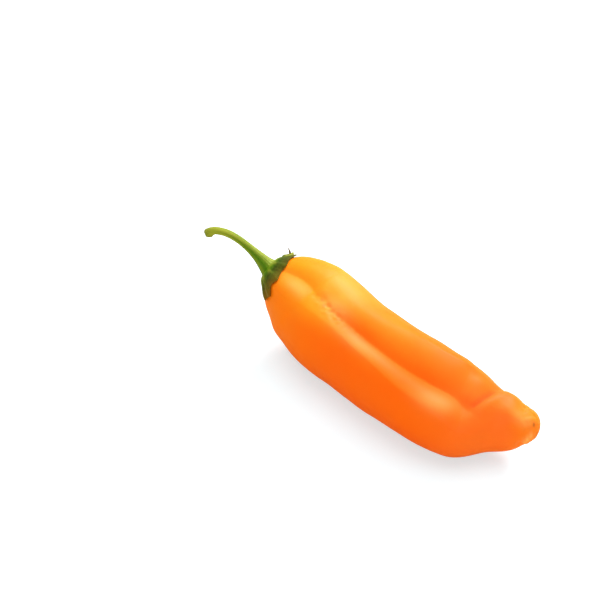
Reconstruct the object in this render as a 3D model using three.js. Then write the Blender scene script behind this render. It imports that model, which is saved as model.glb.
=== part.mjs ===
// A long sweet pepper as picked, lying on its side.
// It has two pieces: the pod, a fruit that grew as one body, and the green stalk with its calyx.
// Millimetres, +Z up. The origin is under the middle of the pepper, on the surface that it lies on.
// +X points from the stalk to the tip.
import * as THREE from 'three';

// The pod's middle line from the stalk end to the tip, a station about every 16 mm.
const SPINE = [
  [-63.1, 5.8, 38], [-46.8, 5.7, 32.9], [-33.6, 4.8, 27.8], [-17.6, 2.2, 25.2], [-1.1, 0, 24.3],
  [15.9, -2.2, 24], [32.4, -3.3, 24], [49.4, -3.1, 23.5], [62.8, 0.9, 20.9], [81.2, 8.3, 19.2],
  [96.4, 16, 22],
];
const POD_LENGTH = 166;
// The pod's mean radius at shares of its length.
const GIRTH = [
  [0, 24.4], [0.08, 22.3], [0.16, 23.6], [0.26, 25.3], [0.38, 24.9], [0.52, 25.0], [0.65, 24.6],
  [0.76, 22.7], [0.83, 20.8], [0.88, 15.7], [0.93, 12.4], [0.97, 10.6], [1, 11.7],
];
// Shares of the length over which the stalk end and the tip round off.
const DOME_SHARE = 0.165;
const TIP_SHARE = 0.085;

// The long furrow on the upper side: its angle round the pod, its depth, and how wide its two banks are.
// Angles round the pod are in degrees: 0 is the far side (+Y), 90 the top, 180 the near side.
const FURROW_ANGLE = [
  [0, 120], [0.05, 115], [0.1, 109], [0.2, 107], [0.3, 108], [0.4, 107], [0.5, 111], [0.6, 115],
  [0.7, 116], [0.76, 122], [0.8, 128], [0.86, 132], [1, 133],
];
const FURROW_DEPTH = [
  [0, 0.3], [0.05, 1.1], [0.1, 1.5], [0.2, 1.9], [0.3, 2.6], [0.4, 3.3], [0.5, 4.2], [0.6, 5],
  [0.7, 5.7], [0.76, 5.4], [0.8, 4], [0.86, 0.5], [1, 0],
];
const NEAR_BANK = [[0, 4], [0.2, 5], [0.45, 4.6], [0.8, 5], [1, 5]];
const FAR_BANK = [[0, 5], [0.2, 9], [0.45, 11], [0.8, 10], [1, 8]];
const RIDGE_SHARE = 0.28;
const RIDGE_OFFSET = 8.5;
const RIDGE_WIDTH = 6;

// The fold that crosses the far lobe where the tip lobe begins: its share along the pod over the angle.
const FOLD_PLACE = [
  [-60, 0.89], [0, 0.882], [40, 0.872], [65, 0.86], [96, 0.831], [110, 0.812], [128, 0.797],
  [150, 0.785], [240, 0.785],
];
const FOLD_DEPTH = 2.6;
const FOLD_STALK_BANK = 8;
const FOLD_TIP_BANK = 2.4;
const FOLD_SWELL = { share: 0.6, offset: 6.5, width: 5 };

// The two shallow furrows between the lobes on the hidden sides: angle, depth and width.
const SHALLOW_FURROWS = [[345, 1.9, 13], [238, 1.1, 11]];

// Swellings and hollows: share along, angle round, reach along, reach round, height.
const SWELLINGS = [
  [0.16, 62, 16, 16, 1.2], [0.79, 208, 12, 13, 1.6], [0.865, 190, 8, 14, -1], [0.92, 75, 8, 8, 0.6],
  [0.89, 150, 12, 11, -0.8], [0.735, 140, 9, 8, 1], [0.3, 190, 20, 14, 0.6], [0.5, 205, 16, 16, -0.5],
];

// The stalk's middle line as (along, up) from its foot, in the upright plane that STALK_HEADING gives.
const STALK_PATH = [[0, 0], [5.8, 6.4], [12.7, 12.3], [18, 15.6], [23.3, 17.3], [28.6, 17.2], [31.3, 16], [33.6, 13.9]];
const STALK_HEADING = new THREE.Vector3(-0.936, -0.351, 0).normalize();
const STALK_RADIUS = 1.95;
const STALK_FLARE = { slow: 1.6, slowReach: 11, quick: 0.8, quickReach: 2.5 };
const CUT_END_SWELL = 0.55;
const CUT_END_REACH = 3.5;
const STALK_RIBS = 5;
const STALK_RIB_SHARE = 0.06;

// The calyx: where its middle sits on the pod's dome, its radius, and its teeth as angle, length, half width.
const CALYX_TILT = 11;
const CALYX_TURN = 138;
const CALYX_RADIUS = 13.9;
const CALYX_TEETH = [
  [124, 2.4, 10], [76, 1.3, 12], [38, 1, 10], [4, 4, 12], [-18, 2.5, 8], [-70, 2, 13], [180, 2, 12], [235, 2.2, 13],
];
const CALYX_THROAT = 5.2;
const CALYX_RIM_LIFT = 0.9;
const CALYX_CROWN_LIFT = 2.3;
const CALYX_GAP = 0.35;
const DOME_RADIUS = 25;

// How finely the two meshes are divided.
const POD_ROWS = 78;
const POD_SIDES = 56;
const STALK_ROWS = 20;
const STALK_SIDES = 36;

const DEGREE = Math.PI / 180;
const clamp = THREE.MathUtils.clamp;
const wrapAngle = (angle) => THREE.MathUtils.euclideanModulo(angle + 180, 360) - 180;
const bell = (x) => Math.exp(-x * x);

// A smooth curve through a table of [x, y] pairs: cubic pieces whose slope at a knot is the weighted
// mean of the slopes on its two sides.
function tableCurve(table) {
  const last = table.length - 1;
  const slope = (i) => (table[i + 1][1] - table[i][1]) / (table[i + 1][0] - table[i][0]);
  const slopes = table.map((_, i) => {
    if (i === 0) return slope(0);
    if (i === last) return slope(last - 1);
    const before = table[i][0] - table[i - 1][0];
    const after = table[i + 1][0] - table[i][0];
    return (slope(i - 1) * after + slope(i) * before) / (before + after);
  });
  return (x) => {
    const at = clamp(x, table[0][0], table[last][0]);
    let i = 0;
    while (i < last - 1 && at >= table[i + 1][0]) i += 1;
    const width = table[i + 1][0] - table[i][0];
    const f = (at - table[i][0]) / width;
    const g = 1 - f;
    return table[i][1] * (1 + 2 * f) * g * g + width * slopes[i] * f * g * g
      + table[i + 1][1] * f * f * (3 - 2 * f) - width * slopes[i + 1] * f * f * g;
  };
}

const girth = tableCurve(GIRTH);
const furrowAngle = tableCurve(FURROW_ANGLE);
const furrowDepth = tableCurve(FURROW_DEPTH);
const nearBank = tableCurve(NEAR_BANK);
const farBank = tableCurve(FAR_BANK);
const foldPlace = tableCurve(FOLD_PLACE);
const spineCurve = new THREE.CatmullRomCurve3(SPINE.map((p) => new THREE.Vector3(...p)), false, 'catmullrom', 0.5);

// A crease's cross-section: 1 at its bottom, falling away on both banks, nearly sharp at the bottom.
function creaseShape(x) {
  const blunt = 0.12;
  return Math.exp(-((Math.hypot(x, blunt) - blunt) ** 1.25));
}

// The pod's frame at a share of its length: middle, direction, far side and upper side.
function podFrame(share) {
  const along = spineCurve.getTangent(share);
  const far = new THREE.Vector3(0, 0, 1).cross(along).normalize();
  return { middle: spineCurve.getPoint(share), along, far, up: along.clone().cross(far) };
}

// How far the skin stands out from the mean radius.
function relief(share, angle, radius) {
  let out = 0;

  const round = wrapAngle(angle - furrowAngle(share)) * DEGREE * radius;
  const depth = furrowDepth(share);
  out -= depth * creaseShape(round > 0 ? round / nearBank(share) : round / farBank(share));
  out += RIDGE_SHARE * depth * bell((round - RIDGE_OFFSET) / RIDGE_WIDTH);

  const turn = clamp(wrapAngle(angle - 90) + 90, -60, 240);
  const strength = FOLD_DEPTH * THREE.MathUtils.smoothstep(turn, -10, 45)
    * (1 - THREE.MathUtils.smoothstep(turn, 124, 140));
  const past = (share - foldPlace(turn)) * POD_LENGTH;
  out -= strength * creaseShape(past > 0 ? past / FOLD_TIP_BANK : past / FOLD_STALK_BANK);
  out += FOLD_SWELL.share * strength * bell((past - FOLD_SWELL.offset) / FOLD_SWELL.width);

  for (const [at, dip, width] of SHALLOW_FURROWS) {
    const aside = wrapAngle(angle - at) * DEGREE * radius;
    out -= dip * Math.sin(Math.PI * share) ** 0.7 * bell(aside / width);
  }
  for (const [at, turnAt, reachAlong, reachRound, height] of SWELLINGS) {
    const aside = wrapAngle(angle - turnAt) * DEGREE * radius;
    out += height * bell(Math.hypot(((share - at) * POD_LENGTH) / reachAlong, aside / reachRound));
  }
  return out;
}

// A point of the pod's skin. The cap value falls from 1 to 0 over the dome and over the tip.
function podPoint(share, angle, cap) {
  const { middle, far, up } = podFrame(share);
  const radius = girth(share) * cap;
  const reach = radius + relief(share, angle, Math.max(radius, 6)) * Math.min(cap * 1.3, 1);
  return middle
    .addScaledVector(far, reach * Math.cos(angle * DEGREE))
    .addScaledVector(up, reach * Math.sin(angle * DEGREE));
}

// Rows of the pod from its stalk end to its tip: a walk of even steps over dome, body and tip.
function podRows(count) {
  const domeWalk = (DOME_SHARE * Math.PI) / 2;
  const tipWalk = (TIP_SHARE * Math.PI) / 2;
  const walk = domeWalk + (1 - DOME_SHARE - TIP_SHARE) + tipWalk;
  return Array.from({ length: count }, (_, i) => {
    const gone = (walk * i) / (count - 1);
    const domeTurn = clamp(gone / DOME_SHARE, 0, Math.PI / 2);
    const tipTurn = clamp((walk - gone) / TIP_SHARE, 0, Math.PI / 2);
    let share = DOME_SHARE + gone - domeWalk;
    if (gone < domeWalk) share = DOME_SHARE * (1 - Math.cos(domeTurn));
    if (walk - gone < tipWalk) share = 1 - TIP_SHARE * (1 - Math.cos(tipTurn));
    return { share, cap: Math.sin(domeTurn) * Math.sin(tipTurn) };
  });
}

// A closed body from rings of points between two poles. Each ring turns by the right-hand rule about
// the way from the first pole to the last.
function ringBody(firstPole, rings, lastPole) {
  const sides = rings[0].length;
  const points = [firstPole, ...rings.flat(), lastPole];
  const at = (ring, side) => 1 + ring * sides + (side % sides);
  const index = [];
  for (let side = 0; side < sides; side += 1) {
    index.push(0, at(0, side + 1), at(0, side));
    for (let ring = 0; ring < rings.length - 1; ring += 1) {
      index.push(at(ring, side), at(ring, side + 1), at(ring + 1, side + 1));
      index.push(at(ring, side), at(ring + 1, side + 1), at(ring + 1, side));
    }
    index.push(at(rings.length - 1, side), at(rings.length - 1, side + 1), points.length - 1);
  }
  const geometry = new THREE.BufferGeometry().setFromPoints(points);
  geometry.setIndex(index);
  geometry.computeVertexNormals();
  return geometry;
}

// The pod: its lowest strip is pressed flat, where it rests on the surface.
function podGeometry() {
  const rings = podRows(POD_ROWS).slice(1, -1).map(({ share, cap }) => (
    Array.from({ length: POD_SIDES }, (_, side) => {
      const point = podPoint(share, (360 * side) / POD_SIDES, cap);
      point.z = Math.max(point.z, 0);
      return point;
    })
  ));
  return ringBody(podFrame(0).middle, rings, podFrame(1).middle);
}

// A direction out of the dome, tilted from the pod's pole and turned round it, in degrees.
function domeDirection(tilt, turn) {
  const { along, far, up } = podFrame(0);
  return along.multiplyScalar(-Math.cos(tilt * DEGREE))
    .addScaledVector(far, Math.sin(tilt * DEGREE) * Math.cos(turn * DEGREE))
    .addScaledVector(up, Math.sin(tilt * DEGREE) * Math.sin(turn * DEGREE));
}

// The point of the dome's skin that lies in a direction, raised off the skin by lift.
function domePoint(direction, lift) {
  const { along, far, up } = podFrame(0);
  const cosine = clamp(-direction.dot(along), -1, 1);
  const turn = Math.atan2(direction.dot(up), direction.dot(far)) / DEGREE;
  const cap = Math.sqrt(1 - cosine * cosine);
  return podPoint(DOME_SHARE * (1 - cosine), turn, cap).addScaledVector(direction, lift);
}

const stalkAxis = domeDirection(CALYX_TILT, CALYX_TURN);
const stalkSide = new THREE.Vector3(0, 0, 1).cross(STALK_HEADING);

// Two unit vectors across a direction, the first as near as can be to the stalk plane's normal.
function acrossPair(direction) {
  const first = stalkSide.clone().addScaledVector(direction, -stalkSide.dot(direction)).normalize();
  return [first, direction.clone().cross(first)];
}

// A ring of points over the dome round the stalk, at a radius and a lift for each angle.
function calyxRing(radiusAt, liftAt) {
  const [first, second] = acrossPair(stalkAxis);
  return Array.from({ length: STALK_SIDES }, (_, side) => {
    const angle = (360 * side) / STALK_SIDES;
    const radius = radiusAt(angle);
    const bend = radius / DOME_RADIUS;
    const direction = stalkAxis.clone().multiplyScalar(Math.cos(bend))
      .addScaledVector(first, Math.sin(bend) * Math.cos(angle * DEGREE))
      .addScaledVector(second, Math.sin(bend) * Math.sin(angle * DEGREE));
    return domePoint(direction, liftAt(radius));
  });
}

// The rim of the calyx: a round edge that grows out into pointed teeth.
function calyxRim(angle) {
  return CALYX_TEETH.reduce((sum, [at, length, width]) => (
    sum + length * bell(wrapAngle(angle - at) / width)
  ), CALYX_RADIUS);
}

// Rings of the calyx from the middle of its underside out to the rim, and over it to the stalk's foot.
function calyxRings() {
  const under = [0.25, 0.5, 0.75, 0.93].map((f) => calyxRing((angle) => calyxRim(angle) * f, () => CALYX_GAP));
  const edge = calyxRing((angle) => calyxRim(angle) + 0.1, () => CALYX_GAP + 0.15);
  const top = [1, 0.9, 0.75, 0.55, 0.35, 0.15, 0].map((f) => calyxRing(
    (angle) => CALYX_THROAT + (calyxRim(angle) - CALYX_THROAT) * f,
    (radius) => CALYX_GAP + CALYX_RIM_LIFT - 0.25 * f ** 4
      + CALYX_CROWN_LIFT * (1 - 0.3 * f) * bell((radius - CALYX_THROAT) / 3.8),
  ));
  return [...under, edge, ...top];
}

// Stations of the stalk from its foot on the calyx up to its cut end.
function stalkStations() {
  const foot = domePoint(stalkAxis, CALYX_CROWN_LIFT + CALYX_GAP);
  const path = new THREE.CatmullRomCurve3(STALK_PATH.map(([along, up]) => (
    foot.clone().addScaledVector(STALK_HEADING, along).add(new THREE.Vector3(0, 0, up))
  )), false, 'catmullrom', 0.5);
  const length = path.getLength();
  return Array.from({ length: STALK_ROWS }, (_, row) => {
    const share = row / (STALK_ROWS - 1);
    const fromFoot = length * share;
    const lean = bell(fromFoot / 3);
    const direction = path.getTangentAt(share).multiplyScalar(1 - lean).addScaledVector(stalkAxis, lean).normalize();
    const radius = STALK_RADIUS + STALK_FLARE.slow * bell(fromFoot / STALK_FLARE.slowReach)
      + STALK_FLARE.quick * Math.exp(-fromFoot / STALK_FLARE.quickReach)
      + CUT_END_SWELL * bell((length - fromFoot) / CUT_END_REACH);
    return { middle: path.getPointAt(share), direction, radius };
  });
}

// A ribbed ring round a stalk station, shrunk by a share for the rings on the cut face.
function ribbedRing({ middle, direction, radius }, shrink = 1, sink = 0) {
  const [first, second] = acrossPair(direction);
  return Array.from({ length: STALK_SIDES }, (_, side) => {
    const angle = (360 * side) / STALK_SIDES;
    const reach = radius * shrink * (1 + STALK_RIB_SHARE * Math.cos(STALK_RIBS * angle * DEGREE + 0.6));
    return middle.clone().addScaledVector(direction, -sink)
      .addScaledVector(first, reach * Math.cos(angle * DEGREE))
      .addScaledVector(second, reach * Math.sin(angle * DEGREE));
  });
}

// The stalk and the calyx in one body, with a slightly dished cut end.
function stalkGeometry() {
  const stations = stalkStations();
  const end = stations[STALK_ROWS - 1];
  const dish = 0.25;
  const rings = [
    ...calyxRings(),
    ...stations.map((station) => ribbedRing(station)),
    ribbedRing(end, 0.85),
    ribbedRing(end, 0.5, dish),
  ];
  return ringBody(domePoint(stalkAxis, CALYX_GAP), rings, end.middle.clone().addScaledVector(end.direction, -dish));
}

function namedMesh(name, geometry, color, roughness) {
  const mesh = new THREE.Mesh(geometry, new THREE.MeshStandardMaterial({ color, roughness, metalness: 0 }));
  mesh.name = name;
  return mesh;
}

const pepper = new THREE.Group();
pepper.add(namedMesh('pod', podGeometry(), 0xf97a22, 0.3));
pepper.add(namedMesh('stalk_with_calyx', stalkGeometry(), 0x5f7a25, 0.55));

export default pepper;
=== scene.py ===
"""A long sweet pepper lying on its side, with its furrowed orange pod and its green stalk and calyx.

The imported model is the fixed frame. The two pieces are made again here as fine skins on the same middle
lines and the same sizes, then get their finishes, and stand on a pale floor under soft studio light.
Shapes are worked out in millimetres and put into meshes in metres.
"""

import logging
import math
from dataclasses import dataclass
from enum import Enum

import bpy
import numpy as np
from mathutils import Matrix, Vector


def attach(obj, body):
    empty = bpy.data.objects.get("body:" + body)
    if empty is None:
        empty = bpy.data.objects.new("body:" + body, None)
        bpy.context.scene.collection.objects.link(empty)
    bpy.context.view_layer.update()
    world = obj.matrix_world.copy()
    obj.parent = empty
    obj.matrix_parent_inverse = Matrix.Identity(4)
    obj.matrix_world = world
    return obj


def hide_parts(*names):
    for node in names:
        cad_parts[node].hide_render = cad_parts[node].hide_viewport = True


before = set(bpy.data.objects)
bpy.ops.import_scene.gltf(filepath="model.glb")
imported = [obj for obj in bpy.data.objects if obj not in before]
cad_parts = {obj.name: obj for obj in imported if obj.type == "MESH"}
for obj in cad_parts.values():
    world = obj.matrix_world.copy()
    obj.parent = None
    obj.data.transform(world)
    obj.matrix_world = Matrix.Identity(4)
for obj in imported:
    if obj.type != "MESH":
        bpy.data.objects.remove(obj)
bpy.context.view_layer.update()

LOG = logging.getLogger("pepper")
MM = 0.001
Socket = bpy.types.NodeSocket
Tree = bpy.types.ShaderNodeTree
Piece = bpy.types.Object
Material = bpy.types.Material
Array = np.ndarray
Colour = tuple[int, int, int]
Pair = tuple[float, float]
Triple = tuple[float, float, float]


class Mask(Enum):
    """Per-point values that the pieces carry for their finishes, by attribute name."""

    # Painted light: the yellower top of the pod, where the light falls, which also stands in for its broad
    # highlights.
    CROWN_LIGHT = "crown"
    # Painted shade: the redder, darker lower side of the pod.
    FLANK_SHADE = "flank_shade"
    ENDS = "ends"
    TIP = "tip"
    # Painted shade: redder orange in the furrow, along the fold's crease and at two spots.
    FURROW_SHADE = "furrow"
    # The blossom scar and small real marks at the tip, and painted shade in the wrinkles of the furrow.
    SCAR_AND_CREASE_SHADE = "scar"
    CALYX = "calyx"
    RIB = "rib"
    EDGE = "edge"
    CUT = "cut"
    # Painted highlights on the pod and the stalk, painted light from the floor under the tip, and the paler
    # lip of the calyx.
    HIGHLIGHT_AND_PALE = "pale"


MaskValues = dict[Mask, tuple[float, Array, float]]


def linear(colour: Colour) -> tuple[float, ...]:
    """Turns a screen colour of 0 to 255 into the linear one with alpha 1 that a shader takes."""
    shares = [c / 255 for c in colour]
    return (*(s / 12.92 if s <= 0.04045 else ((s + 0.055) / 1.055) ** 2.4 for s in shares), 1.0)


def bell(x: Array) -> Array:
    """Gives exp(-x squared)."""
    return np.exp(-x * x)


def smooth_step(x: Array, low: float, high: float) -> Array:
    """Gives 0 below low, 1 above high and a cubic ease between."""
    f = np.clip((x - low) / (high - low), 0.0, 1.0)
    return f * f * (3 - 2 * f)


def wrap_angle(angle: Array) -> Array:
    """Brings an angle in degrees into -180 to 180."""
    return (angle + 180) % 360 - 180


def near(angle: Array, middle: float, width: float) -> Array:
    """Gives bell((angle - middle) / width) in degrees, 1 at the middle."""
    return bell(wrap_angle(angle - middle) / width)


def upright(angle: Array) -> Array:
    """Brings an angle in degrees into -90 to 270, with the top of the pod in the middle."""
    return wrap_angle(angle - 90) + 90


def unit(vectors: Array) -> Array:
    """Scales vectors on the last axis to length 1."""
    return vectors / np.linalg.norm(vectors, axis=-1, keepdims=True)


def bank_shape(x: Array, power: Array) -> Array:
    """Gives a bank's height below its crest: (1 - x)^power, 1 at the bottom and 0 from x = 1 on."""
    blunt = 0.06
    return np.clip(1 - (np.hypot(x, blunt) - blunt), 0, 1) ** power


def crease_shape(x: Array) -> Array:
    """Gives a crease's section over its bank's width: exp(-(sqrt(x^2 + b^2) - b)^1.25), 1 at the bottom."""
    blunt = 0.03
    return np.exp(-((np.hypot(x, blunt) - blunt) ** 1.25))


@dataclass(frozen=True)
class Table:
    """A smooth curve through (x, y) knots: cubic pieces, with the weighted mean slope at each knot."""

    knots: tuple[Pair, ...]

    def __call__(self, x: Array) -> Array:
        """Reads the curve.

        Args:
            x: places to read, held inside the first and the last knot.

        Returns:
            The curve's height at each place.
        """
        xs, ys = np.array(self.knots, float).T
        steps = np.diff(xs)
        rises = np.diff(ys) / steps
        slopes = np.concatenate(
            ([rises[0]], (rises[:-1] * steps[1:] + rises[1:] * steps[:-1]) / (xs[2:] - xs[:-2]), [rises[-1]])
        )
        at = np.clip(x, xs[0], xs[-1])
        i = np.clip(np.searchsorted(xs, at, side="right") - 1, 0, len(xs) - 2)
        f = (at - xs[i]) / steps[i]
        g = 1 - f
        start = ys[i] * (1 + 2 * f) * g * g + steps[i] * slopes[i] * f * g * g
        end = ys[i + 1] * f * f * (3 - 2 * f) - steps[i] * slopes[i + 1] * f * f * g
        return start + end


@dataclass(frozen=True)
class Path:
    """A uniform Catmull-Rom curve through stations, read by a share from 0 to 1."""

    stations: Array

    def at(self, share: Array) -> Array:
        """Gives points: the cubic through four stations round each share.

        Args:
            share: shares of the station count, any array shape.

        Returns:
            Points, with one more axis of 3.
        """
        p = self.stations
        padded = np.vstack([2 * p[0] - p[1], p, 2 * p[-1] - p[-2]])
        walk = np.asarray(share, float) * (len(p) - 1)
        i = np.clip(np.floor(walk).astype(int), 0, len(p) - 2)
        f = (walk - i)[..., None]
        a, b, c, d = (padded[i + k] for k in range(4))
        square = 2 * a - 5 * b + 4 * c - d
        cube = 3 * b - a - 3 * c + d
        return 0.5 * (2 * b + (c - a) * f + square * f**2 + cube * f**3)

    def direction(self, share: Array) -> Array:
        """Gives unit tangents from the difference of two near points."""
        ahead, behind = (self.at(np.clip(share + step, 0, 1)) for step in (1e-4, -1e-4))
        return unit(ahead - behind)

    def even_shares(self, count: int) -> tuple[Array, float]:
        """Finds shares that lie an even arc length apart.

        Args:
            count: how many shares.

        Returns:
            The shares, and the curve's whole length.
        """
        fine = np.linspace(0, 1, 2001)
        steps = np.linalg.norm(np.diff(self.at(fine), axis=0), axis=1)
        gone = np.concatenate(([0], np.cumsum(steps)))
        return np.interp(np.linspace(0, gone[-1], count), gone, fine), float(gone[-1])


@dataclass(frozen=True)
class Ripple:
    """Gentle unevenness: a sum of plane waves in seeded directions, all of about one length."""

    seed: int
    length: float
    height: float
    waves: int = 10

    def at(self, points: Array) -> Array:
        """Gives height * sum(sin(k.p + phase)) / sqrt(waves) at each point.

        Args:
            points: places in millimetres, last axis of 3.

        Returns:
            The rise at each point.
        """
        rng = np.random.default_rng(self.seed)
        directions = unit(rng.normal(size=(self.waves, 3)))
        lengths = self.length * rng.uniform(0.75, 1.4, (self.waves, 1))
        phases = rng.uniform(0, math.tau, self.waves)
        waves = np.sin(points @ (directions * math.tau / lengths).T + phases)
        return self.height * waves.sum(-1) / math.sqrt(self.waves)


def ring_body(name: str, first: Array, rings: Array, last: Array) -> Piece:
    """Makes one closed skin from rings of points between two poles.

    The faces are a fan at each pole and four-sided faces between neighbouring rings. Each ring turns by
    the right-hand rule about the way from the first pole to the last, so the faces point outwards.

    Args:
        name: the piece's name.
        first: the first pole, in millimetres.
        rings: points of shape (rings, sides, 3).
        last: the last pole.

    Returns:
        The object, at the origin, with smooth faces.
    """
    count, sides = rings.shape[:2]
    points = np.vstack([first[None], rings.reshape(-1, 3), last[None]]) * MM
    at = 1 + np.arange(count * sides).reshape(count, sides)
    beside = np.roll(at, -1, axis=1)
    quads = np.stack([at[:-1], beside[:-1], beside[1:], at[1:]], -1).reshape(-1, 4)
    start = np.stack([np.zeros(sides, int), beside[0], at[0]], -1)
    finish = np.stack([at[-1], beside[-1], np.full(sides, len(points) - 1)], -1)
    mesh = bpy.data.meshes.new(name)
    mesh.from_pydata(points.tolist(), [], start.tolist() + quads.tolist() + finish.tolist())
    mesh.shade_smooth()
    piece = bpy.data.objects.new(name, mesh)
    bpy.context.scene.collection.objects.link(piece)
    return piece


def carry(piece: Piece, masks: MaskValues) -> None:
    """Stores one value per point of a ring body for each mask, as a named attribute.

    Args:
        piece: the ring body.
        masks: for each mask the value at the first pole, the values over the rings, and the last pole's.
    """
    for mask, (first, rings, last) in masks.items():
        values = np.concatenate(([first], rings.ravel(), [last])).astype(np.float32)
        layer = piece.data.attributes.new(mask.value, "FLOAT", "POINT")
        layer.data.foreach_set("value", values)


@dataclass(frozen=True)
class Swelling:
    """A rounded rise or hollow in the skin, in shares, degrees and millimetres."""

    share: float
    angle: float
    along: float
    round: float
    height: float


def spots(*rows: tuple[float, ...]) -> tuple[Swelling, ...]:
    """Makes swellings from rows of share, angle, reach along, reach round and height."""
    return tuple(Swelling(*row) for row in rows)


@dataclass(frozen=True)
class Places:
    """Places on the pod: share along it, degrees round it, and the mean radius there."""

    share: Array
    angle: Array
    radius: Array

    def arc(self, start: Array | float) -> Array:
        """Gives the distance round the skin from an angle: radians(angle - start) * radius."""
        return np.radians(wrap_angle(self.angle - start)) * self.radius


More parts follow.
